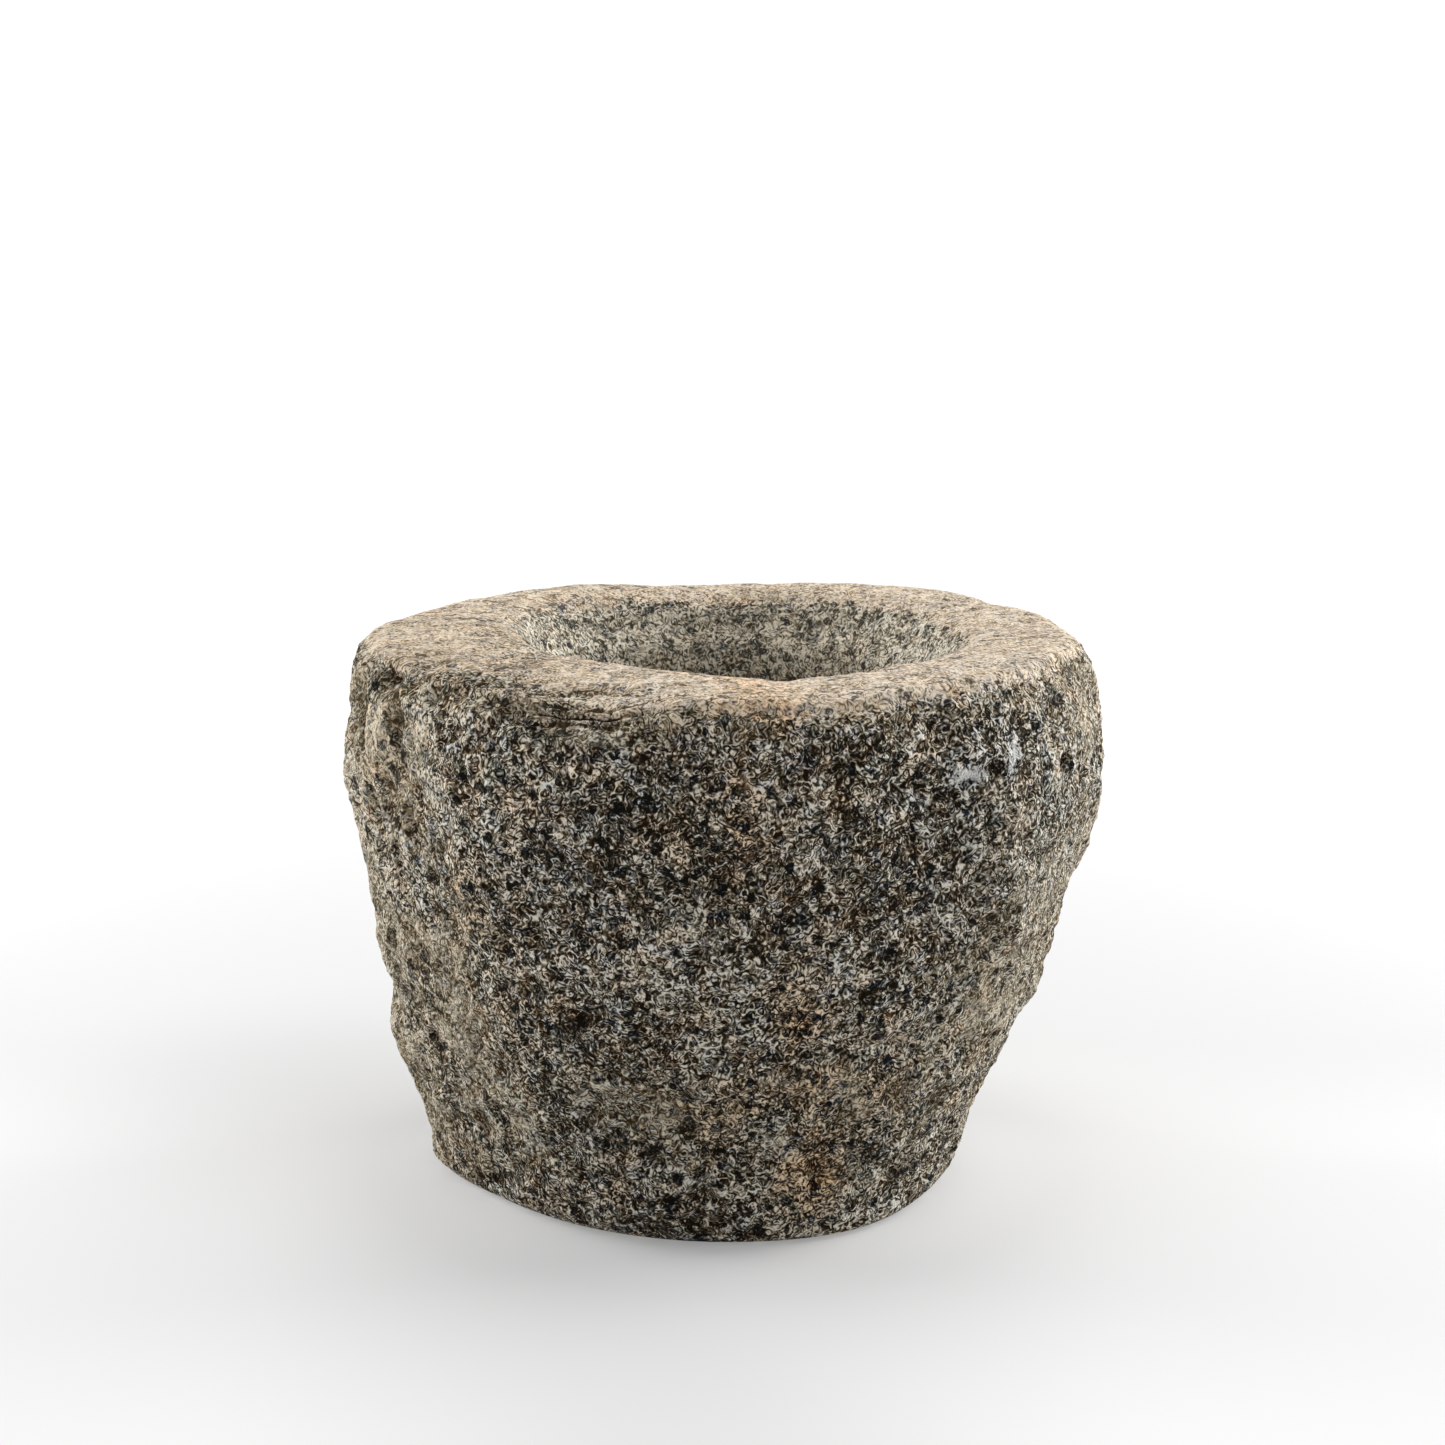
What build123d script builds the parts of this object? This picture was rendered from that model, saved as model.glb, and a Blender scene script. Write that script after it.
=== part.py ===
from build123d import *
import os
from math import cos, exp, pi, radians, sin

# A one-piece hand-hewn granite mortar, standing upright with its basin open to +Z. One block of
# stone carries a flat foot, a wall that swells from the foot to a belly under the rim, a broad worn
# rim and a ground basin. Nothing is joined, so there is one solid and one node.
# The block's own axis is vertical. Azimuth 0 is +X, and azimuths run counter-clockwise seen from above.

# ---- Driving dimensions, millimetres and degrees ----
HEIGHT = 150.0            # foot face to the mean level of the rim
BASIN_DEPTH = 84.0        # rim level to the basin floor

# Plan outlines: the stone's radius every 30 degrees from azimuth 0
FOOT_OUTLINE = (64.5, 67, 72, 71, 72, 77, 82.5, 72.3, 69, 68.5, 69, 64.5)
BELLY_OUTLINE = (101, 102, 100, 97, 98, 100, 102, 99, 99, 99, 97, 100)
MOUTH_OUTLINE = (60, 63, 66, 66, 66, 60, 50, 43.5, 45, 52.5, 54.5, 57)

# How far the wall has swelled from the foot outline (0) to the belly outline (1), at even heights
SWELL = (0.0, 0.11, 0.28, 0.47, 0.63, 0.78, 0.89, 0.965, 1.0, 0.965, 0.86)

FOOT_ROUND = 6.0          # how far the foot face is set back from the wall
FOOT_ROUND_HEIGHT = 8.0
RIM_ROUND = 6.0           # worn outer edge of the rim
LIP_ROUND = 12.0          # worn inner edge of the rim
RIM_CROWN = 0.6           # the rim's middle stands this far over its edges
WALL_TOP = HEIGHT - RIM_ROUND

# The basin narrows below the mouth: share of the depth, then share of the mouth's radius
BASIN_PROFILE = ((0.16, 0.955), (0.32, 0.91), (0.48, 0.85), (0.64, 0.76), (0.78, 0.635), (0.89, 0.48),
                 (0.96, 0.31), (0.99, 0.18), (1.0, 0.1))

# Places where the mason's tool or a knock left the wall proud or hollow:
# azimuth, height, half width in degrees, half height in mm, and depth in mm (negative is hollow)
WALL_MARKS = (
    (180, 118, 20, 10, 1.6),     # bruised shoulder on the left
    (178, 51, 14, 6, -1.6),      # ledge low on the left, over a shallow scoop
    (184, 36, 16, 9, 2.2),
    (214, 96, 13, 40, -2.6),     # long dressed flat between the front and the left
    (247, 120, 10, 9, 2.0),      # corner of the front under the chipped rim
    (262, 34, 12, 12, -1.8),     # low scoops on the front
    (283, 74, 16, 22, -1.4),
    (318, 100, 10, 40, 2.2),     # upright arris between the front and the right
    (338, 70, 12, 26, -1.8),
    (0, 28, 18, 12, -3.6),       # undercut low on the right
    (4, 108, 12, 12, 1.0),
    (38, 70, 15, 30, -2.4),      # dressed flats round the back
    (68, 112, 13, 24, 1.8),
    (92, 50, 16, 26, -2.2),
    (118, 92, 14, 34, 1.6),
    (148, 64, 15, 34, -2.4),
)

# The rim's level, which wanders: azimuth, half width in degrees, height in mm (negative is lower)
RIM_WAVES = (
    (58, 18, 1.3),
    (92, 12, -0.4),
    (126, 16, 1.1),
    (175, 20, 0.6),
    (286, 6, -0.8),              # the notch worn into the lip
    (335, 22, 0.8),
    (15, 14, -0.5),
)
# The same for the rim's outer edge alone, which the wear of the front-left has taken down
EDGE_WAVES = (
    (222, 18, -1.4),
    (249, 12, -2.6),             # the chipped front edge
    (285, 16, -1.0),
)

POINTS_PER_RING = 60
WALL_RING_COUNT = 13


def smooth(before, low, high, after, share):
    """A value between low and high, on a smooth curve through four even stations."""
    bend = 2 * before - 5 * low + 4 * high - after
    twist = 3 * (low - high) + after - before
    return low + 0.5 * share * (high - before + share * (bend + share * twist))


def outline(radii, azimuth):
    """The radius of a plan outline at an azimuth."""
    place = azimuth % 360 / 360 * len(radii)
    first = int(place)
    stations = (radii[(first + k) % len(radii)] for k in (-1, 0, 1, 2))
    return smooth(*stations, place - first)


def swell(height):
    place = height / HEIGHT * (len(SWELL) - 1)
    first = min(int(place), len(SWELL) - 2)
    stations = (SWELL[min(max(first + k, 0), len(SWELL) - 1)] for k in (-1, 0, 1, 2))
    return smooth(*stations, place - first)


def turn_between(a, b):
    """The angle from azimuth b to azimuth a, the short way round."""
    return (a - b + 180) % 360 - 180


def wall_radius(azimuth, height):
    foot = outline(FOOT_OUTLINE, azimuth)
    belly = outline(BELLY_OUTLINE, azimuth)
    radius = foot + (belly - foot) * swell(height)
    for mark_azimuth, mark_height, wide, high, depth in WALL_MARKS:
        across = turn_between(azimuth, mark_azimuth) / wide
        along = (height - mark_height) / high
        radius += depth * exp(-across**2 - along**2)
    return radius


def waves(table, azimuth):
    return sum(rise * exp(-(turn_between(azimuth, place) / wide) ** 2) for place, wide, rise in table)


def rim_level(azimuth, share=1):
    """The height across the rim: share is 0 at its outer edge and 1 at its inner."""
    return HEIGHT - RIM_CROWN + waves(RIM_WAVES, azimuth) + (1 - share) * waves(EDGE_WAVES, azimuth)


def ring(radius_at, height_at):
    """A closed curve round the axis, from a radius and a height at each azimuth."""
    points = []
    for k in range(POINTS_PER_RING):
        azimuth = 360 * k / POINTS_PER_RING
        radius = radius_at(azimuth)
        around = radians(azimuth)
        points.append(Vector(radius * cos(around), radius * sin(around), height_at(azimuth)))
    even = [k / POINTS_PER_RING for k in range(POINTS_PER_RING + 1)]
    return Wire([Edge.make_spline(points, parameters=even, periodic=True)])


def foot_rings():
    """The foot face's edge and its worn rounding, a quarter turn out to the wall."""
    for share in (0, 0.3, 0.62):
        set_back = FOOT_ROUND * (1 - sin(share * pi / 2))
        height = FOOT_ROUND_HEIGHT * (1 - cos(share * pi / 2))
        yield ring(lambda a: wall_radius(a, height) - set_back, lambda a: height)


def wall_rings():
    """The hewn wall, from the top of the foot's rounding to just under the rim's."""
    rise = (WALL_TOP - 4 - FOOT_ROUND_HEIGHT) / (WALL_RING_COUNT - 1)
    for k in range(WALL_RING_COUNT):
        height = FOOT_ROUND_HEIGHT + rise * k
        yield ring(lambda a: wall_radius(a, height), lambda a: height)


def rim_rings():
    """Over the worn outer edge, across the crowned rim and into the worn lip."""
    for share in (0.15, 0.5, 0.85):
        inward = RIM_ROUND * (1 - cos(share * pi / 2))
        below = RIM_ROUND * (1 - sin(share * pi / 2))
        yield ring(lambda a: wall_radius(a, WALL_TOP) - inward, lambda a: rim_level(a, 0) - below)
    for share in (0.25, 0.5, 0.75):
        crown = RIM_CROWN * sin(share * pi)
        yield ring(lambda a: rim_radius(a, share), lambda a: rim_level(a, share) + crown)
    for share in (0.15, 0.5, 0.85):
        outward = LIP_ROUND * (1 - sin(share * pi / 2))
        below = LIP_ROUND * (1 - cos(share * pi / 2))
        yield ring(lambda a: outline(MOUTH_OUTLINE, a) + outward, lambda a: rim_level(a) - below)


def rim_radius(azimuth, share):
    """A place across the level of the rim: 0 at its outer rounding, 1 at its inner."""
    outer = wall_radius(azimuth, WALL_TOP) - RIM_ROUND
    inner = outline(MOUTH_OUTLINE, azimuth) + LIP_ROUND
    return outer + (inner - outer) * share


def basin_rings():
    """The ground basin, whose upper part follows the wandering rim."""
    floor = HEIGHT - BASIN_DEPTH
    for depth, radius in BASIN_PROFILE:
        yield ring(
            lambda a: outline(MOUTH_OUTLINE, a) * radius,
            lambda a: floor + (rim_level(a) - floor) * (1 - depth),
        )


def make_mortar():
    rings = [*foot_rings(), *wall_rings(), *rim_rings(), *basin_rings()]
    stone = Solid.make_loft(rings)
    box = stone.bounding_box()
    return stone.translate(Vector(-box.center().X, -box.center().Y, -box.min.Z))


os.makedirs("parts", exist_ok=True)
mortar = make_mortar()
export_step(mortar, "parts/mortar.step")
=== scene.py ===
from itertools import product
from math import pi, radians

import bpy
import numpy as np
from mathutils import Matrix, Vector


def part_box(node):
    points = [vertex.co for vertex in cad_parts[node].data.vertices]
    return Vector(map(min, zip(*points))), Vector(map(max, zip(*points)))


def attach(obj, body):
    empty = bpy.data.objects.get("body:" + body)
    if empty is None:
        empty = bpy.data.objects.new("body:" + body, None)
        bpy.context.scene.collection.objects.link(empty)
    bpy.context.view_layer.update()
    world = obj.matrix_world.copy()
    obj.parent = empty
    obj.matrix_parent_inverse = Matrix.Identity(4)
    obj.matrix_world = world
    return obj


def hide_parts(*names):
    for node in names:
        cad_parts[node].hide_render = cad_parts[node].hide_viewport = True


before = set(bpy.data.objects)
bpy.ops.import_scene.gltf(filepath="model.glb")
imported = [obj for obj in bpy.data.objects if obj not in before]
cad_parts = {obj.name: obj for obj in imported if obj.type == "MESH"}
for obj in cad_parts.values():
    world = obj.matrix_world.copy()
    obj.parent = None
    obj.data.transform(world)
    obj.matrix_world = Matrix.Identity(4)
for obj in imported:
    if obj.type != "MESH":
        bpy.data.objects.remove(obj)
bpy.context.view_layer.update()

# A hand-hewn granite mortar on a pale floor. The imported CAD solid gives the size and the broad
# shape. The piece that stands for it is a fine, even skin of that solid, worked as a mason works
# it: broad dressed flats, the pecks of a point chisel, single scars, and a rim and a basin worn
# smooth.
# Lengths are metres, angles degrees. Azimuth 0 is +X and azimuths run counter-clockwise from above.
# A salt is a seed: noise layers with different salts don't follow each other.

MM = 0.001
_, stone_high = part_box("mortar")
RIM = stone_high.z           # the highest point of the rim

# ---- Mesh ----
SKIN_STEP = 0.9 * MM         # width of the skin's squares before it is thinned
SKIN_RELAXED = 6             # rounds of smoothing that take the CAD's facets out of it
SKIN_TRIANGLES = 196_000
BASIN_EDGE = 72 * MM         # the rim's middle: nearer the axis than this the surface is ground
UNDER_BASIN = 50 * MM        # a height below the basin's floor
FOOT_FACE = 3 * MM           # what faces down under this height stays flat
LUMP_TOPS = 0.7 * MM         # the hewn wall is set back by this, so its lumps reach the outline

# The skin laid out flat for baking
LEVEL = 0.6                  # what faces up or down by more than this is laid out as level
WALL_ROLL = 92 * MM          # radius that the wall is unrolled at
BASIN_ROLL = 54 * MM
SHEET_EDGE = 0.002           # free share of the sheet at each edge

# ---- Tool marks ----
FLAT_PITCH = 30 * MM         # distance from one dressed flat to the next
FLAT_STEP = 1.2 * MM         # how far they stand over each other
FLAT_TILT = 0.16
# Pitch, depth and salt of the chisel's marks
COARSE_PECKS = (9 * MM, 1.5 * MM, 100)
FINE_PECKS = (4.5 * MM, 0.85 * MM, 120)
FURROWS = (8.0 * MM, 4.2 * MM, 160)
FURROW_LIFT = 1.9 * MM       # the ridges between the furrows stand proud by this
GRIT = 0.36 * MM             # height of the grain on the hewn wall
WAVES = 0.5 * MM             # height of the unevenness of the rim and the basin
EDGE_WEAR = 1.9 * MM         # depth worn off the outer corner of the rim

# Azimuth and half width of the shoulder where the rim's wear stops short of the corner, of the
# stretch of the rim that is hewn rather than worn, and of its most worn corner
LEFT_SHOULDER = (218, 42)
HEWN_RIM = (234, 24)
WORN_FRONT = (282, 48)

# Azimuth, height, half width and half height of the furrows, the bite out of the rim's front edge
# and the shelf under it
FURROW_PLACE = (204, 118 * MM, 26 * MM, 36 * MM)
CHIP = (248, RIM - 4 * MM, 17 * MM, 7 * MM)
CHIP_SHELF = (251, RIM - 12 * MM, 12 * MM, 2.2 * MM)
CHIP_DEPTH = 2.2 * MM
SHELF_HEIGHT = 1.3 * MM
CHIP_LAYER = 3.2 * MM        # thickness of the layers that the chip is split in
LAYER_DEPTH = 0.7 * MM       # depth of the joints between them

# Single marks: azimuth, height, half width, half height and depth in mm, negative for a hollow
SCARS = (
    (331, 124, 1.9, 2.6, -4.6),      # deep pit on the right shoulder
    (333, 117, 5.0, 4.0, -0.9),
    (313, 128, 3.0, 2.2, -2.4),      # hollow between two bruises
    (247, 66, 4.0, 2.2, -2.0),       # hollow beside a tan patch
    (274, 78, 16.0, 1.2, 0.6),       # a level crease across the front
    (272, 75, 16.0, 1.4, -0.5),
    (187, 60, 18.0, 2.5, 1.1),       # ledge low on the left
    (190, 100, 3.0, 22.0, 0.8),      # upright ridge on the left shoulder
    (203, 145, 4.0, 5.0, -1.6),      # scoops at the top of it
    (210, 139, 3.5, 6.0, -1.5),
    (197, 131, 3.0, 8.0, -1.2),
    (214, 120, 2.5, 14.0, -0.7),
    (309, 112, 9.0, 8.0, -1.0),      # bruised scoops on the right of the front
    (318, 124, 6.0, 5.0, -1.1),
    (275, 20, 12.0, 5.0, -0.8),
    (352, 60, 6.0, 3.0, -1.0),       # nicks that show in the outline
    (355, 84, 7.0, 2.5, 0.8),
    (2, 38, 7.0, 3.0, -0.9),
    (176, 84, 6.0, 3.0, -0.8),
    (60, 96, 10.0, 12.0, -1.3),      # round the back
    (100, 120, 12.0, 5.0, 1.0),
    (128, 50, 9.0, 14.0, -1.2),
    (80, 36, 14.0, 4.0, 0.9),
)
# Marks in the rim: azimuth, radius, half width round the rim, half width across it and depth in mm
RIM_MARKS = (
    (283, 62, 4.5, 7.0, -0.8),       # notch worn in the front of the lip
    (58, 77, 5.0, 2.5, -1.5),        # dent in the back
)

# ---- Colour patches: azimuth, height, half width, half height in mm, and share ----
RUST = (
    (288, 17, 8, 13, 1.0),           # orange-brown stain low on the front
    (290, 42, 26, 24, 0.28),
    (283, 70, 10, 18, 0.42),
    (271, 42, 12, 9, 0.5),
    (244, 67, 6, 4, 0.6),
    (275, 150, 18, 10, 0.4),         # pinkish stain on the front of the lip
    (272, 116, 15, 18, 0.35),        # brown cloud high on the front
    (226, 92, 14, 14, 0.4),
    (206, 120, 20, 26, 0.25),
    (120, 60, 16, 14, 0.5),
    (60, 100, 20, 16, 0.4),
)
COOL = (
    (322, 110, 48, 36, 1.0),         # greyer stone right of the front
    (249, 104, 14, 32, 0.8),
)
GRIME = (
    (196, 150, 55, 18, 1.3),         # the left of the rim is browner
    (95, 150, 60, 12, 0.5),
)
# Darker patches, some of them painted shade in hollows and pits; the others darken the stone in
# bands and spots
DARK_PATCHES_AND_PAINTED_SHADE = (
    (257, 110, 9, 24, 0.20),         # two dark bands down the front
    (291, 106, 9, 24, 0.24),
    (202, 143, 5, 9, 0.55),          # painted shade in the hollows of the left shoulder
    (210, 140, 5, 8, 0.75),
    (223, 149, 10, 5, 0.60),
    (197, 126, 4, 10, 0.45),
    (270, 80, 22, 4, 0.22),
    (262, 9, 16, 6, 0.30),
    # painted shade in a hollow beside a tan patch, in the hollow between two bruises and in the
    # deep pit
    (247, 66, 5, 3, 0.55),
    (313, 128, 3.5, 2.5, 0.5),
    (331, 124, 2.4, 2.4, 0.9),
)
BRUISES = (
    (317, 130, 3.2, 4.0, 1.1),       # whitish bruises right of the front
    (308, 127, 5.0, 2.6, 1.2),
    (306, 133, 6.0, 1.6, 0.5),
    (268, 108, 4, 3, 0.5),
    (140, 118, 8, 4, 0.6),
)
DUST = (
    (180, 65, 44, 88, 1.3),          # pale dust on both flanks
    (200, 130, 34, 30, 1.25),
    (213, 60, 28, 60, 0.9),
    (246, 146, 36, 6.5, 1.0),        # and under the worn front-left of the rim
    (251, 139, 15, 3.0, 0.8),
    (0, 65, 40, 88, 0.95),
    (345, 138, 34, 18, 1.0),
    (328, 78, 38, 58, 0.8),
    (300, 38, 44, 28, 0.55),
    (256, 30, 40, 22, 0.3),
    (256, 39, 30, 14, 0.65),
    (60, 80, 60, 70, 0.5),
    (120, 80, 60, 70, 0.5),
)

# ---- Granite: a tone, and the colour of each surface at that tone ----
MEAN_TONE = 0.503            # tones run from 0 for the blackest crystals to 1 for the palest
# A crystal whose random number is low is black: its tone falls by the third value if the number is
# below the first, by less up to the second, and not at all above it
BLACK_CRYSTALS = (
    (0.10, 0.16, 0.20),
    (0.03, 0.05, 0.22),
)
DARKENING_DEPTH = 0.45            # how far the tone falls in the darker patches and the painted shade
JOINT_DEPTH = 0.7            # and in the joints between the chip's layers
WALL_COLOURS = (
    (0.00, (0.0080, 0.0050, 0.0024)),
    (0.20, (0.0202, 0.0140, 0.0082)),
    (0.40, (0.0620, 0.0500, 0.0354)),
    (0.58, (0.153, 0.133, 0.102)),
    (0.75, (0.343, 0.308, 0.255)),
    (0.95, (0.690, 0.645, 0.560)),
)
DUSTY_COLOURS = (
    (0.00, (0.059, 0.041, 0.021)),
    (0.20, (0.111, 0.084, 0.050)),
    (0.40, (0.199, 0.170, 0.122)),
    (0.58, (0.310, 0.268, 0.200)),
    (0.75, (0.440, 0.388, 0.302)),
    (0.95, (0.590, 0.528, 0.424)),
)
BASIN_COLOURS = (
    (0.00, (0.044, 0.037, 0.026)),
    (0.28, (0.145, 0.127, 0.096)),
    (0.55, (0.340, 0.308, 0.246)),
    (0.92, (0.700, 0.640, 0.530)),
)
RIM_COLOURS = (
    (0.00, (0.132, 0.102, 0.070)),
    (0.22, (0.266, 0.212, 0.153)),
    (0.48, (0.440, 0.362, 0.272)),
    (0.90, (0.665, 0.575, 0.466)),
)
# Tints multiply the colour: by a random number for each region and for each crystal
REGION_TINTS = (
    (0.34, (0.955, 1.00, 1.035)),
    (0.50, (1.00, 1.00, 0.99)),
    (0.66, (1.08, 0.985, 0.90)),
)
CRYSTAL_TINTS = (
    (0.12, (0.76, 0.985, 1.52)),
    (0.36, (0.95, 1.06, 0.87)),
    (0.60, (1.00, 1.00, 1.00)),
    (0.90, (1.29, 0.98, 0.60)),
)
BLACK_CRYSTAL_TINT = (0.76, 1.00, 1.50, 1)
COOL_TINT = (0.87, 1.00, 1.20, 1)
RUST_TINT = (1.15, 0.94, 0.75, 1)
GRIME_TINT = (0.88, 0.87, 0.84, 1)
BRUISE_COLOUR = (0.60, 0.60, 0.59, 1)

# ---- Camera and light ----
CAMERA_BACK = 750 * MM       # in front of the stone's axis
CAMERA_HEIGHT = 276 * MM
CAMERA_PITCH = 11.39         # looking down
CAMERA_LENS = 70.0           # millimetres, on a sensor this wide:
SENSOR_WIDTH = 36

KEY_FROM = (0.25, 0.35, 1)
KEY_POWER = 1.6
KEY_SPREAD = 80
SIDE_LIGHTS = (
    ("left_side", (-1.3, 0.5, 0.5), 24),
    ("right_side", (1.3, 0.5, 0.5), 27),
)
SIDE_LIGHT_WIDTH = 0.9
SKY_AS_LIGHT = 0.5
SKY_AS_SEEN = 1.05           # a plain white surround
FLOOR_RADIUS = 20.0
TABLE_COLOUR = (0.42, 0.42, 0.42, 1)

# The table's glow, which paints light and the stone's soft shadow on the table: two distances, and
# the glow at each
GLOW_ASIDE = (0.0, 0.12, 0.19, 0.33)     # in front of the stone, by distance from its middle line
TABLE_MIDDLE = -0.01                     # that line's X
GLOW_BACKWARDS = (0.0, 0.11)             # from that glow to the one behind, by distance back
GLOW_BEHIND = 0.18
GLOW_AROUND = (                          # painted light, added by distance from the stone's axis
    (0.07, 0.10, 0.06, 0.0),
    (0.15, 0.80, 0.0, 0.20),
    (0.60, 2.20, 0.0, 0.24),
)
PAINTED_SHADOW_GLOW = (0.0, 0.12, -0.09, 0.0)    # painted shadow, added by distance from its darkest place
PAINTED_SHADOW_CENTRE = (-0.12, 0.06, 0)


# ---------------------------------------------------------------- seeded noise

def scatter(cells, salt):
    """A number from 0 to 1 for each whole-numbered lattice cell, the same on every run."""
    whole = cells.astype(np.int64).view(np.uint64)
    mixed = whole[:, 0] * np.uint64(0x9E3779B97F4A7C15)
    mixed ^= whole[:, 1] * np.uint64(0xC2B2AE3D27D4EB4F)
    mixed ^= whole[:, 2] * np.uint64(0x165667B19E3779F9)
    mixed += np.uint64(salt * 0xD6E8FEB86659FD93 % 2**64)
    for shift, factor in ((30, 0xBF58476D1CE4E5B9), (27, 0x94D049BB133111EB)):
        mixed = (mixed ^ (mixed >> np.uint64(shift))) * np.uint64(factor)
    return (mixed >> np.uint64(11)).astype(float) / 2**53


def noise(points, size, salt):
    """Smooth noise from -1 to 1 on a lattice of that size."""
    place = points / size + salt * 0.37
    cell = np.floor(place)
    share = place - cell
    share = share * share * share * (share * (share * 6 - 15) + 10)
    total = np.zeros(len(points))
    for corner in product((0, 1), repeat=3):
        weight = np.where(corner, share, 1 - share).prod(1)
        total += weight * (2 * scatter(cell + corner, salt) - 1)
    return total


def fractal(points, size, salt, octaves=3, keep=0.5):
    """Noise at a size and at finer ones, each keeping a share of the last one's height."""
    total = np.zeros(len(points))
    for octave in range(octaves):
        total += keep**octave * noise(points, size / 2**octave, salt + octave)
    return total


def warped(points, size, amount, salt):
    """The points pushed about by noise, so that what follows them isn't regular."""
    push = [noise(points, size, salt + k) for k in range(3)]
    return points + amount * np.stack(push, 1)


def seeds_near(points, pitch, salt):
    """Yields scattered seeds round each point: the way from seed to point, and the seed's cell."""
    cell = np.floor(points / pitch)
    for step in product((-1, 0, 1), repeat=3):
        home = cell + step
        jitter = np.stack([scatter(home, salt + k) for k in range(3)], 1)
        yield points - (home + jitter) * pitch, home


# ---------------------------------------------------------------- shaping the stone

def ease(low, high, value):
    """0 below low, 1 above high, and a smooth step between."""
    share = np.clip((value - low) / (high - low), 0, 1)
    return share * share * (3 - 2 * share)


def turned(azimuth, centre):
    """Angles from centre, the short way round."""
    return (azimuth - centre + 180) % 360 - 180


def add_to_scene(name, data):
    thing = bpy.data.objects.new(name, data)
    bpy.context.scene.collection.objects.link(thing)
    return thing


def read_vectors(items, name):
    """A property of three numbers from each of a mesh's items."""
    values = np.empty(len(items) * 3, np.float32)
    items.foreach_get(name, values)
    return values.reshape(-1, 3)


def baked_mesh(thing):
    """An object's mesh with its modifiers applied."""
    view = bpy.context.evaluated_depsgraph_get()
    view.update()
    return bpy.data.meshes.new_from_object(thing.evaluated_get(view), depsgraph=view)


def even_skin(node):
    """A copy of a CAD node's surface in even small squares, with no trace of its own facets."""
    blank = add_to_scene("blank", node.data.copy())
    remesh = blank.modifiers.new("even", "REMESH")
    remesh.mode = "VOXEL"
    remesh.voxel_size = SKIN_STEP
    relax = blank.modifiers.new("relax", "SMOOTH")
    relax.iterations = SKIN_RELAXED
    skin = baked_mesh(blank)
    bpy.data.objects.remove(blank)
    return skin


class Surface:
    """The skin's points, their outward directions, and where each lies on the stone."""

    def __init__(self, mesh):
        self.mesh = mesh
        self.points = read_vectors(mesh.vertices, "co").astype(float)
        self.out = read_vectors(mesh.vertex_normals, "vector").astype(float)
        self.azimuth = np.degrees(np.arctan2(self.points[:, 1], self.points[:, 0]))
        self.radius = np.hypot(self.points[:, 0], self.points[:, 1])
        self.height = self.points[:, 2].copy()
        self.up = self.out[:, 2].copy()
        self.foot = ease(0.3, 0.8, -self.up)
        self.find_worn()

    def find_worn(self):
        """Finds where the stone is ground in the basin, worn on the rim, and chipped."""
        inside = (self.radius < BASIN_EDGE) & (self.height > UNDER_BASIN)
        facing_up = self.up + 0.16 * fractal(self.points, 18 * MM, 40)
        high = ease(RIM - 26 * MM, RIM - 10 * MM, self.height)
        outer_edge = ease(0.15 + 0.4 * self.sector(*LEFT_SHOULDER), 1.02, facing_up)
        self.rim = high * np.where(inside, ease(0.62, 1.02, facing_up), outer_edge)
        self.basin = np.where(inside, 1 - self.rim, 0)
        self.chip = self.near(*CHIP) * ease(74 * MM, 84 * MM, self.radius)
        ragged = self.radius + 3 * MM * fractal(self.points, 12 * MM, 44)
        self.rim *= 1 - 0.7 * self.sector(*HEWN_RIM) * ease(75 * MM, 89 * MM, ragged)
        self.worn = np.maximum(self.rim, self.basin)

    def masks(self):
        """What the granite and the layout follow: the relief height for painted shade and the layer
        in mm, and the rest shares.
        """
        return {
            "worn": self.worn,
            "rim": self.rim,
            "basin": self.basin,
            # height of the lumps and hollows in mm, which the granite turns into painted shade in
            # the hollows and painted light on the lumps
            "proud": self.proud,
            # darker patches, painted shade in hollows and pits among them
            "dark": self.patches(DARK_PATCHES_AND_PAINTED_SHADE, 96) - 0.7 * self.shelf,      # the shelf is pale
            "chip": self.chip,
            "layer": self.layer / MM,
            "rust": self.patches(RUST, 80),
            "bruise": self.patches(BRUISES, 84),
            "dust": np.maximum(self.patches(DUST, 88), 0.4 * self.under_rim()),
            "grime": self.patches(GRIME, 92),
            "cool": self.patches(COOL, 76),
            "up": self.up,
        }

    def patches(self, places, salt):
        """The strongest of some soft-edged patches at each point, broken up by noise."""
        ragged = 0.75 + 0.5 * fractal(self.points, 9 * MM, salt)
        total = np.zeros(len(self.points))
        for azimuth, height, wide, high, share in places:
            patch = share * self.near(azimuth, height * MM, wide * MM, high * MM)
            total = np.maximum(total, patch)
        return np.clip(total * ragged, 0, 1)

    def under_rim(self):
        """1 on the wall just under the rim, falling to 0 lower down."""
        return ease(RIM - 17 * MM, RIM - 5 * MM, self.height) * (1 - self.basin)

    def sector(self, azimuth, wide):
        """1 all the way up at an azimuth, falling to 0 about wide away from it."""
        return np.exp(-(turned(self.azimuth, azimuth) / wide) ** 4)

    def near(self, azimuth, height, wide, high):
        """1 at a place outside the basin, falling to 0 about wide and high away from it."""
        across = radians(1) * turned(self.azimuth, azimuth) * self.radius / wide
        along = (self.height - height) / high
        return np.exp(-across**2 - along**2) * (1 - self.basin)


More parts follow.
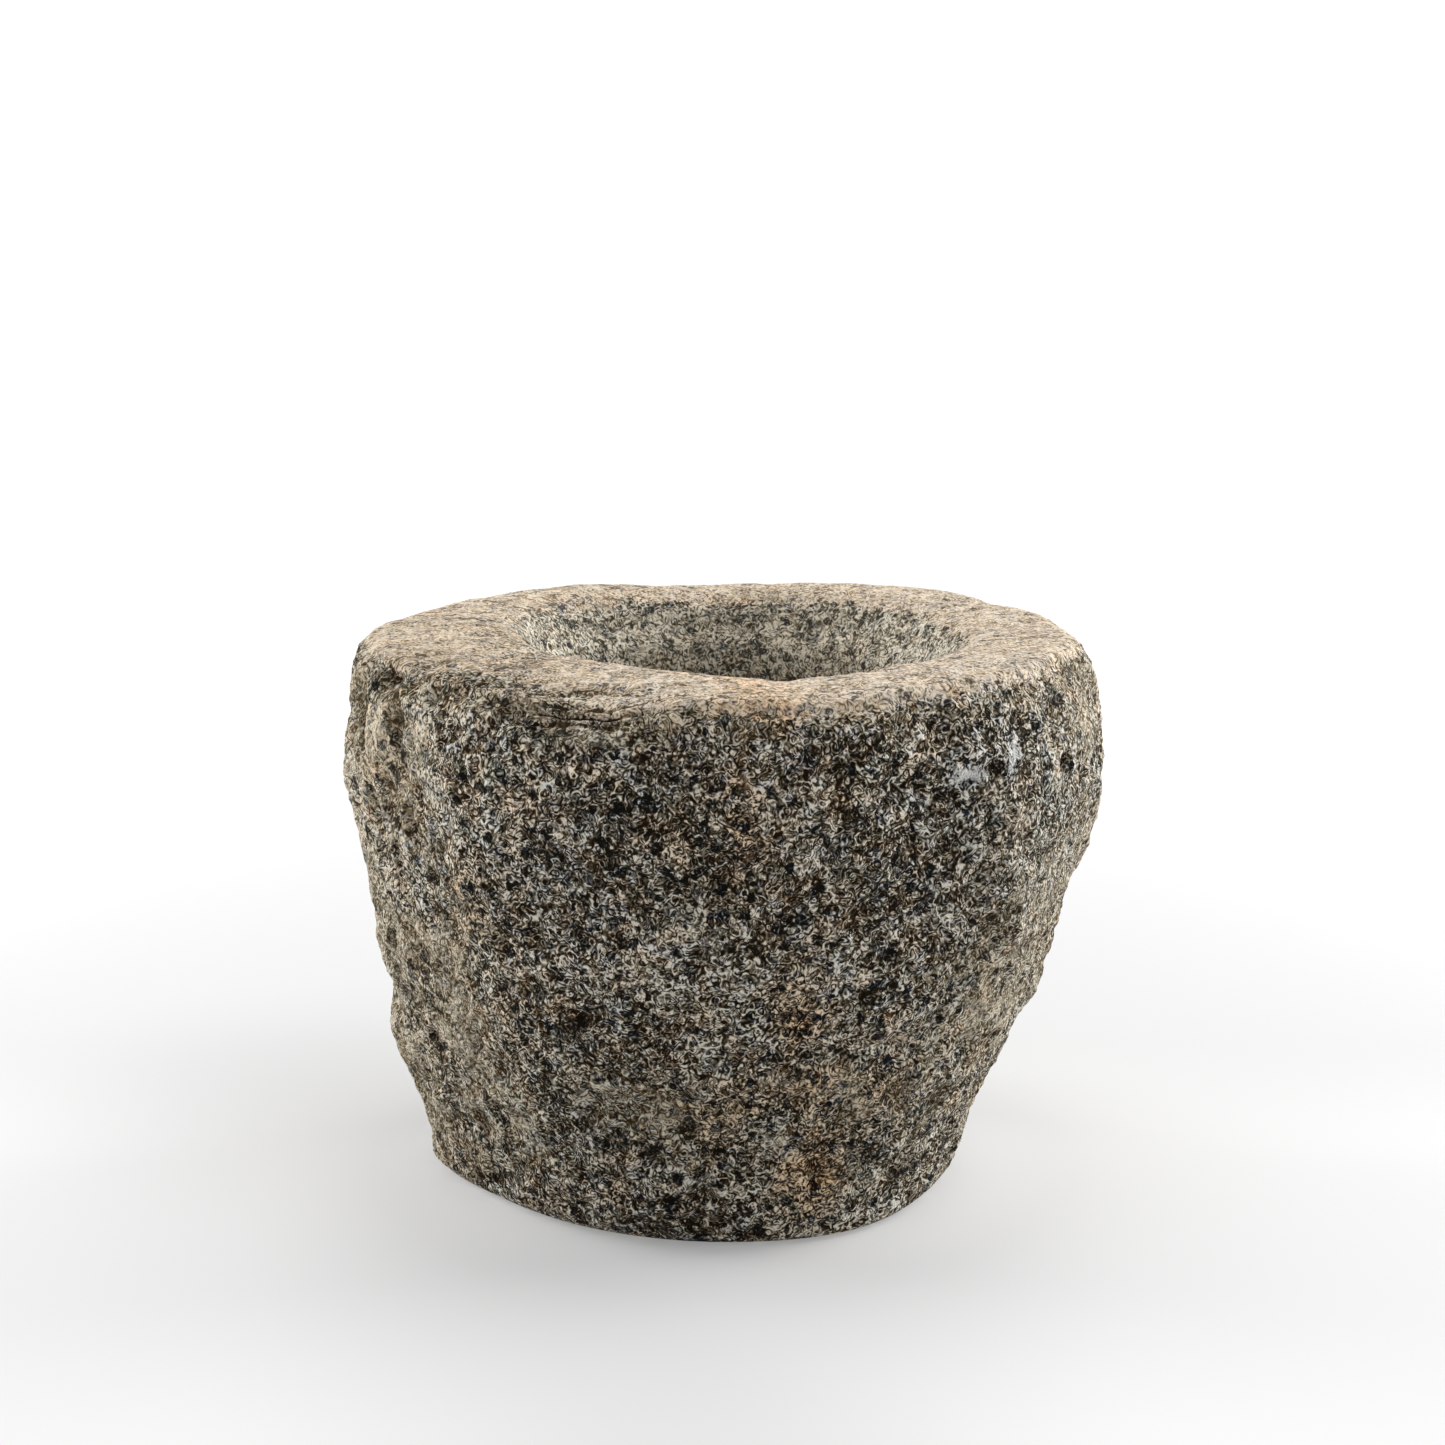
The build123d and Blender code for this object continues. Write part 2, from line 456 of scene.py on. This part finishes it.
def dressed_flats(surface):
    """Broad, slightly tilted planes, one round each seed, that meet in soft arrises."""
    total = np.zeros(len(surface.points))
    weights = np.zeros(len(surface.points))
    for way, home in seeds_near(warped(surface.points, 16 * MM, 3 * MM, 10), FLAT_PITCH, 20):
        weight = np.exp(-((way**2).sum(1)) / (2 * (0.2 * FLAT_PITCH) ** 2))
        tilt = np.stack([scatter(home, 24 + k) - 0.5 for k in range(3)], 1)
        plane = FLAT_STEP * (scatter(home, 23) - 0.5) + FLAT_TILT * (way * tilt).sum(1)
        total += weight * plane
        weights += weight
    return total / np.maximum(weights, 1e-9)


def pecks(surface, pitch, depth, salt, stretch=(1, 1, 1)):
    """The shallow bowls that a point chisel leaves, each cutting into its neighbours."""
    deepest = np.zeros(len(surface.points))
    moved = warped(surface.points, 5 * MM, 1.1 * MM, salt + 50) * np.array(stretch)
    for way, home in seeds_near(moved, pitch, salt):
        reach = pitch * (0.45 + 0.4 * scatter(home, salt + 3))
        bowl = 1 - (way**2).sum(1) / reach**2
        cut = depth * (0.25 + 0.75 * scatter(home, salt + 4)) * bowl
        deepest = np.maximum(deepest, cut)
    return -deepest


def furrows(surface):
    """Long upright lumps that the chisel left down the left shoulder."""
    ridges = pecks(surface, *FURROWS, stretch=(1, 1, 0.42))
    return (ridges + FURROW_LIFT) * surface.near(*FURROW_PLACE)


def chipped_rim(surface):
    """The bite out of the front edge, split in thin, nearly level layers, with a shelf under it."""
    level = surface.height - 0.3 * surface.radius - 0.07 * surface.points[:, 0]
    wander = 1.1 * MM * noise(surface.points, 9 * MM, 71)
    surface.layer = level + wander
    layers = np.cos(2 * pi * surface.layer / CHIP_LAYER)
    surface.shelf = surface.near(*CHIP_SHELF)
    bite = -CHIP_DEPTH * surface.chip + LAYER_DEPTH * layers * surface.chip
    return bite + SHELF_HEIGHT * surface.shelf


def worn_edge(surface):
    """Takes the corner between the wall and the rim down, most of all at the front."""
    outside = surface.radius > BASIN_EDGE
    corner = ease(0.15, 0.6, surface.up) * (1 - ease(0.75, 0.99, surface.up)) * outside
    middle, wide = WORN_FRONT
    front = 0.35 + 0.65 * np.exp(-(turned(surface.azimuth, middle) / wide) ** 2)
    return -EDGE_WEAR * corner * front * (surface.height > RIM - 20 * MM)


def scars(surface):
    total = np.zeros(len(surface.points))
    for azimuth, height, wide, high, depth in SCARS:
        total += depth * MM * surface.near(azimuth, height * MM, wide * MM, high * MM)
    return total


def rim_marks(surface):
    total = np.zeros(len(surface.points))
    high = surface.height > RIM - 18 * MM
    for azimuth, radius, wide, across, depth in RIM_MARKS:
        around = radians(1) * turned(surface.azimuth, azimuth) * surface.radius / (wide * MM)
        outward = (surface.radius - radius * MM) / (across * MM)
        total += depth * MM * np.exp(-around**2 - outward**2) * high
    return total


def hew(surface):
    """Moves the skin's points out and in along their directions, all but those of the foot face."""
    rough = 1 - 0.88 * surface.worn
    wall = 1 - surface.worn
    relief = pecks(surface, *COARSE_PECKS) + pecks(surface, *FINE_PECKS)
    relief -= relief[surface.worn < 0.1].mean()
    grit = GRIT * fractal(surface.points, 2.3 * MM, 140, octaves=2, keep=0.6)
    waves = WAVES * fractal(surface.points, 26 * MM, 150, octaves=2) * surface.worn
    broad = dressed_flats(surface) * (0.25 + 0.75 * wall)
    marks = scars(surface)
    detail = relief * rough + grit * (0.3 + 0.7 * wall) + furrows(surface) * rough
    edges = chipped_rim(surface) + rim_marks(surface) + worn_edge(surface)
    offset = broad + waves + detail + marks + edges
    offset -= LUMP_TOPS * rough
    offset *= 1 - surface.foot
    moved = surface.points + offset[:, None] * surface.out
    flat = (surface.height < FOOT_FACE) & (surface.foot > 0.5)
    moved[:, 2] = np.where(flat, surface.height, np.maximum(moved[:, 2], 0))
    surface.mesh.vertices.foreach_set("co", moved.astype(np.float32).ravel())
    # the relief in mm, for the painted shade in the hollows and pits
    surface.proud = (detail + marks) / MM
    surface.mesh.update()


def thinned(mesh):
    """The mesh with its flattest triangles merged, down to the count that the part may have."""
    mesh.calc_loop_triangles()
    fine = add_to_scene("fine", mesh)
    fewer = fine.modifiers.new("fewer", "DECIMATE")
    fewer.ratio = min(1.0, SKIN_TRIANGLES / len(mesh.loop_triangles))
    fewer.use_collapse_triangulate = True
    result = baked_mesh(fine)
    bpy.data.objects.remove(fine)
    return result


def flat_map(points):
    return points[:, 0], points[:, 1]


def rolled_map(azimuth, radius):
    """Unrolls the wall round one azimuth, as if it were a cylinder of that radius."""
    def place(points):
        around = np.degrees(np.arctan2(points[:, 1], points[:, 0]))
        return np.radians(turned(around, azimuth)) * radius, points[:, 2]
    return place


def lay_out(mesh):
    """Lays the skin out flat for baking, all of it at one scale and with few seams."""
    corners = np.empty(len(mesh.loops), np.int32)
    mesh.loops.foreach_get("vertex_index", corners)
    points = read_vectors(mesh.vertices, "co")[corners]
    up = np.empty(len(mesh.vertices), np.float32)
    mesh.attributes["up"].data.foreach_get("value", up)
    face = np.repeat(np.arange(len(mesh.polygons)), 3)
    middle = points.reshape(-1, 3, 3).mean(1)[face]
    facing = up[corners].reshape(-1, 3).mean(1)[face]
    around = np.degrees(np.arctan2(middle[:, 1], middle[:, 0]))
    inside = (np.hypot(middle[:, 0], middle[:, 1]) < BASIN_EDGE) & (middle[:, 2] > UNDER_BASIN)

    # A chart is the corners on it, how they are laid flat, and its low corner on the sheet in mm
    charts = [(facing > LEVEL, flat_map, (0, 0)), (facing < -LEVEL, flat_map, (210, 0))]
    walls = abs(facing) <= LEVEL
    for centre, corner in ((90, (0, 205)), (210, (0, 358)), (330, (210, 316))):
        strip = abs(turned(around, centre)) <= 60
        charts.append((walls & ~inside & strip, rolled_map(centre, WALL_ROLL), corner))
    for centre, corner in ((0, (210, 156)), (180, (210, 236))):
        strip = abs(turned(around, centre)) <= 90
        charts.append((walls & inside & strip, rolled_map(centre, BASIN_ROLL), corner))

    flat = np.zeros((len(corners), 2))
    for chosen, place, corner in charts:
        laid = np.stack(place(points[chosen]), 1)
        flat[chosen] = laid - laid.min(0) + np.array(corner) * MM
    flat = flat / flat.max(0) * (1 - 2 * SHEET_EDGE) + SHEET_EDGE
    layer = mesh.uv_layers.new(name="OFBake")
    layer.data.foreach_set("uv", flat.astype(np.float32).ravel())


def make_stone():
    surface = Surface(even_skin(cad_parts["mortar"]))
    hew(surface)
    for name, values in surface.masks().items():
        layer = surface.mesh.attributes.new(name, "FLOAT", "POINT")
        layer.data.foreach_set("value", values.astype(np.float32))
    mesh = thinned(surface.mesh)
    mesh.shade_smooth()
    lay_out(mesh)
    mesh.materials.clear()
    mesh.materials.append(Granite().material)
    return add_to_scene("granite_mortar", mesh)


# ---------------------------------------------------------------- granite

class Shading:
    """Adds nodes to a material. A value given to a socket may be a number, a colour or a socket."""

    def __init__(self, name):
        self.material = bpy.data.materials.new(name)
        self.material.use_nodes = True
        self.tree = self.material.node_tree
        self.shader = self.tree.nodes["Principled BSDF"]

    def feed(self, node, sockets):
        for name, value in sockets.items():
            if isinstance(value, bpy.types.NodeSocket):
                self.tree.links.new(value, node.inputs[name])
            else:
                node.inputs[name].default_value = value

    def node(self, kind, settings=None, **sockets):
        made = self.tree.nodes.new("ShaderNode" + kind)
        for name, value in (settings or {}).items():
            setattr(made, name, value)
        self.feed(made, {name.replace("_", " "): value for name, value in sockets.items()})
        return made

    def math(self, operation, *values):
        made = self.tree.nodes.new("ShaderNodeMath")
        made.operation = operation
        self.feed(made, dict(enumerate(values)))
        return made.outputs[0]

    def total(self, *terms):
        """The sum of value times weight."""
        running = 0.0
        for value, weight in terms:
            running = self.math("MULTIPLY_ADD", value, weight, running)
        return running

    def vector(self, operation, *values):
        made = self.tree.nodes.new("ShaderNodeVectorMath")
        made.operation = operation
        for place, value in enumerate(values):
            name = "Scale" if operation == "SCALE" and place else place
            self.feed(made, {name: value})
        return made.outputs["Value" if operation in ("DISTANCE", "LENGTH") else "Vector"]

    def noise(self, place, size, detail=2.0, roughness=0.5, distortion=0.0, colour=False):
        """Noise whose lumps are about size millimetres across."""
        made = self.node("TexNoise", Vector=place, Scale=1 / size, Detail=detail,
                         Roughness=roughness, Distortion=distortion)
        return made.outputs["Color" if colour else "Fac"]

    def crystals(self, place, size):
        """A random number for each crystal, size millimetres across."""
        made = self.node("TexVoronoi", Vector=place, Scale=1 / size)
        return self.node("SeparateColor", Color=made.outputs["Color"]).outputs[0]

    def ramp(self, value, stops):
        made = self.node("ValToRGB", Fac=value)
        elements = made.color_ramp.elements
        while len(elements) < len(stops):
            elements.new(0.5)
        for element, (position, colour) in zip(elements, stops):
            element.position = position
            element.color = (*colour, 1)
        return made.outputs["Color"]

    def level(self, value, low, high, to_low=0.0, to_high=1.0):
        made = self.node("MapRange", {"interpolation_type": "SMOOTHSTEP"}, Value=value)
        self.feed(made, {"From Min": low, "From Max": high, "To Min": to_low, "To Max": to_high})
        return made.outputs["Result"]

    def mix(self, share, first, second, blend="MIX"):
        made = self.tree.nodes.new("ShaderNodeMix")
        made.data_type = "RGBA"
        made.blend_type = blend
        self.feed(made, {0: share, 6: first, 7: second})
        return made.outputs[2]

    def mask(self, name):
        return self.node("Attribute", {"attribute_name": name}).outputs["Fac"]


class Granite(Shading):
    """The stone's material. Its noise and crystals are sized in millimetres."""

    def __init__(self):
        super().__init__("granite")
        metres = self.node("TexCoord").outputs["Object"]
        self.place = self.vector("SCALE", metres, 1 / MM)
        middle = (0.5, 0.5, 0.5)
        wander = self.vector("SUBTRACT", self.noise(self.place, 2.2, colour=True), middle)
        self.bent = self.vector("ADD", self.place, self.vector("SCALE", wander, 2.0))
        self.chance = self.crystals(self.bent, 2.3)
        self.tone = self.chip_layers(self.grain_tone())
        colour = self.marked(self.mottled(self.surface_colour()))
        bump = self.node("Bump", Height=self.tone, Distance=0.4 * MM)
        self.feed(bump, {"Strength": self.level(self.mask("worn"), 0.0, 1.0, 0.9, 0.3)})
        self.feed(self.shader, {
            "Base Color": colour,
            "Specular IOR Level": 0.06,
            "Roughness": self.level(self.tone, 0.1, 0.9, 0.95, 0.75),
            "Normal": bump.outputs["Normal"],
        })

    def grain_tone(self):
        """Curly grains, small crystals and clouds, with rare black crystals and darker patches,
        painted shade in hollows and pits among them.
        """
        grains = (      # and the weight of each
            (self.crystals(self.bent, 1.2), 0.38),
            (self.noise(self.place, 2.2, detail=0.5, distortion=3.0), 2.2),
            (self.noise(self.place, 0.5, detail=1.0), 0.3),
            (self.noise(self.bent, 4.0, roughness=0.6), 0.95),
            (self.noise(self.place, 24.0), 0.36),
        )
        mean = 0.5 * sum(weight for _, weight in grains)
        tone = self.math("SUBTRACT", self.total(*grains), mean - MEAN_TONE)
        for rarest, rare, depth in BLACK_CRYSTALS:
            tone = self.math("SUBTRACT", tone, self.level(self.chance, rarest, rare, depth, 0.0))
        # darkens the darker patches, painted shade in hollows and pits among them
        return self.math("MULTIPLY_ADD", self.mask("dark"), -DARKENING_DEPTH, tone)

    def chip_layers(self, tone):
        """Darkens the joints between the layers of the chipped edge."""
        turns = self.math("MULTIPLY", self.mask("layer"), 2 * pi * MM / CHIP_LAYER)
        joint = self.level(self.math("COSINE", turns), 0.0, -0.85)
        split = self.math("MULTIPLY", joint, self.mask("chip"))
        return self.math("MULTIPLY_ADD", split, -JOINT_DEPTH, tone)

    def surface_colour(self):
        """The wall and its dust with painted shade, darker in their hollows and paler where they
        stand proud, the basin and the worn rim.
        """
        proud = self.mask("proud")
        # painted shade: the tone falls in the hollows and rises on the lumps, on the wall and in
        # its dust
        wall = self.ramp(self.math("MULTIPLY_ADD", proud, 0.10, self.tone), WALL_COLOURS)
        lift = self.math("MULTIPLY_ADD", proud, 0.14, 0.044)
        dusty = self.ramp(self.math("MULTIPLY_ADD", self.tone, 0.89, lift), DUSTY_COLOURS)
        colour = self.mix(self.mask("basin"), wall, self.ramp(self.tone, BASIN_COLOURS))
        colour = self.mix(self.grain_edge("dust", 0.35), colour, dusty)
        return self.mix(self.grain_edge("rim", 0.6), colour, self.ramp(self.tone, RIM_COLOURS))

    def mottled(self, colour):
        """Tints each region and each crystal, dark crystals most and worn or dusty stone least."""
        plain = self.math("MAXIMUM", self.mask("worn"), self.mask("dust"))
        share = self.level(plain, 0.0, 1.0, 1.0, 0.35)
        region = self.ramp(self.noise(self.place, 9.0, roughness=0.6), REGION_TINTS)
        colour = self.mix(share, colour, region, "MULTIPLY")
        elsewhere = self.vector("ADD", self.bent, (31.0, 7.0, 3.0))
        crystal = self.ramp(self.crystals(elsewhere, 2.2), CRYSTAL_TINTS)
        share = self.math("MULTIPLY", share, self.level(self.tone, 0.12, 0.66, 1.0, 0.14))
        colour = self.mix(share, colour, crystal, "MULTIPLY")
        share = self.math("MULTIPLY", share, self.level(self.chance, 0.06, 0.13, 1.0, 0.0))
        return self.mix(share, colour, BLACK_CRYSTAL_TINT, "MULTIPLY")

    def marked(self, colour):
        """Adds the greyer stone, the rust, the grime and the bruises."""
        darkness = self.level(self.tone, 0.1, 0.6, 1.0, 0.3)
        cool = self.math("MULTIPLY", self.mask("cool"), darkness)
        colour = self.mix(cool, colour, COOL_TINT, "MULTIPLY")
        colour = self.mix(self.grain_edge("rust", 0.6), colour, RUST_TINT, "MULTIPLY")
        colour = self.mix(self.mask("grime"), colour, GRIME_TINT, "MULTIPLY")
        bruised = self.mix(0.72, colour, BRUISE_COLOUR)
        return self.mix(self.grain_edge("bruise", 0.9), colour, bruised)

    def grain_edge(self, name, raggedness):
        """A mask whose soft edge is broken up grain by grain, the paler grains turning first."""
        paleness = self.math("SUBTRACT", self.tone, 0.45)
        lifted = self.math("MULTIPLY_ADD", paleness, raggedness, self.mask(name))
        reach = self.level(self.mask(name), 0.0, 0.3)
        return self.math("MULTIPLY", self.level(lifted, 0.0, 0.95), reach)


def glowing_table_with_painted_shadow():
    """A pale matt table whose glow paints light and the stone's soft shadow on it: brighter away
    from the stone, darker behind it and left of its foot.
    """
    shading = Shading("table_with_painted_shadow")
    metres = shading.node("TexCoord").outputs["Object"]
    place = shading.node("SeparateXYZ", Vector=metres)
    off_middle = shading.math("SUBTRACT", place.outputs["X"], TABLE_MIDDLE)
    front = shading.level(shading.math("ABSOLUTE", off_middle), *GLOW_ASIDE)
    glow = shading.level(place.outputs["Y"], *GLOW_BACKWARDS, front, GLOW_BEHIND)
    # painted shadow: the glow dips round a place behind the left of the foot
    from_painted_shadow = shading.vector("DISTANCE", metres, PAINTED_SHADOW_CENTRE)
    glow = shading.math("ADD", glow, shading.level(from_painted_shadow, *PAINTED_SHADOW_GLOW))
    away = shading.vector("LENGTH", metres)
    for steps in GLOW_AROUND:
        glow = shading.math("ADD", glow, shading.level(away, *steps))
    shading.feed(shading.shader, {
        "Base Color": TABLE_COLOUR,
        "Roughness": 0.9,
        "Specular IOR Level": 0.1,
        "Emission Color": (1, 1, 1, 1),
        "Emission Strength": glow,
    })
    return shading.material


# ---------------------------------------------------------------- the set

def make_floor():
    bpy.ops.mesh.primitive_circle_add(vertices=128, radius=FLOOR_RADIUS, fill_type="NGON")
    floor = bpy.context.object
    floor.name = "floor"
    # the table's glow paints light and the stone's soft shadow on the floor
    floor.data.materials.append(glowing_table_with_painted_shadow())


def make_lights():
    """A broad soft key from above and behind, and a softer one on each side."""
    sun = bpy.data.lights.new("soft_key", "SUN")
    sun.energy = KEY_POWER
    sun.angle = radians(KEY_SPREAD)
    key = add_to_scene("soft_key", sun)
    key.rotation_euler = Vector(KEY_FROM).to_track_quat("Z", "Y").to_euler()
    middle = Vector((0, 0, 0.5 * RIM))
    for name, place, watts in SIDE_LIGHTS:
        light = bpy.data.lights.new(name, "AREA")
        light.shape = "SQUARE"
        light.size = SIDE_LIGHT_WIDTH
        light.energy = watts
        lamp = add_to_scene(name, light)
        lamp.location = place
        lamp.rotation_euler = (middle - Vector(place)).to_track_quat("-Z", "Y").to_euler()


def make_world():
    """Even white light, and a plain white surround behind the floor."""
    world = bpy.data.worlds.new("studio")
    world.use_nodes = True
    bpy.context.scene.world = world
    nodes, links = world.node_tree.nodes, world.node_tree.links
    sky = nodes["Background"]
    path = nodes.new("ShaderNodeLightPath")
    strength = nodes.new("ShaderNodeMapRange")
    strength.inputs["To Min"].default_value = SKY_AS_LIGHT
    strength.inputs["To Max"].default_value = SKY_AS_SEEN
    links.new(path.outputs["Is Camera Ray"], strength.inputs["Value"])
    links.new(strength.outputs["Result"], sky.inputs["Strength"])
    sky.inputs["Color"].default_value = (1, 1, 1, 1)


def make_camera():
    camera = add_to_scene("camera", bpy.data.cameras.new("camera"))
    camera.data.lens = CAMERA_LENS
    camera.data.sensor_width = SENSOR_WIDTH
    camera.location = (0, -CAMERA_BACK, CAMERA_HEIGHT)
    camera.rotation_euler = (radians(90 - CAMERA_PITCH), 0, 0)
    bpy.context.scene.camera = camera


stone = make_stone()
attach(stone, "root")
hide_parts("mortar")

make_floor()
make_lights()
make_world()
make_camera()
bpy.context.scene.view_settings.view_transform = "Standard"
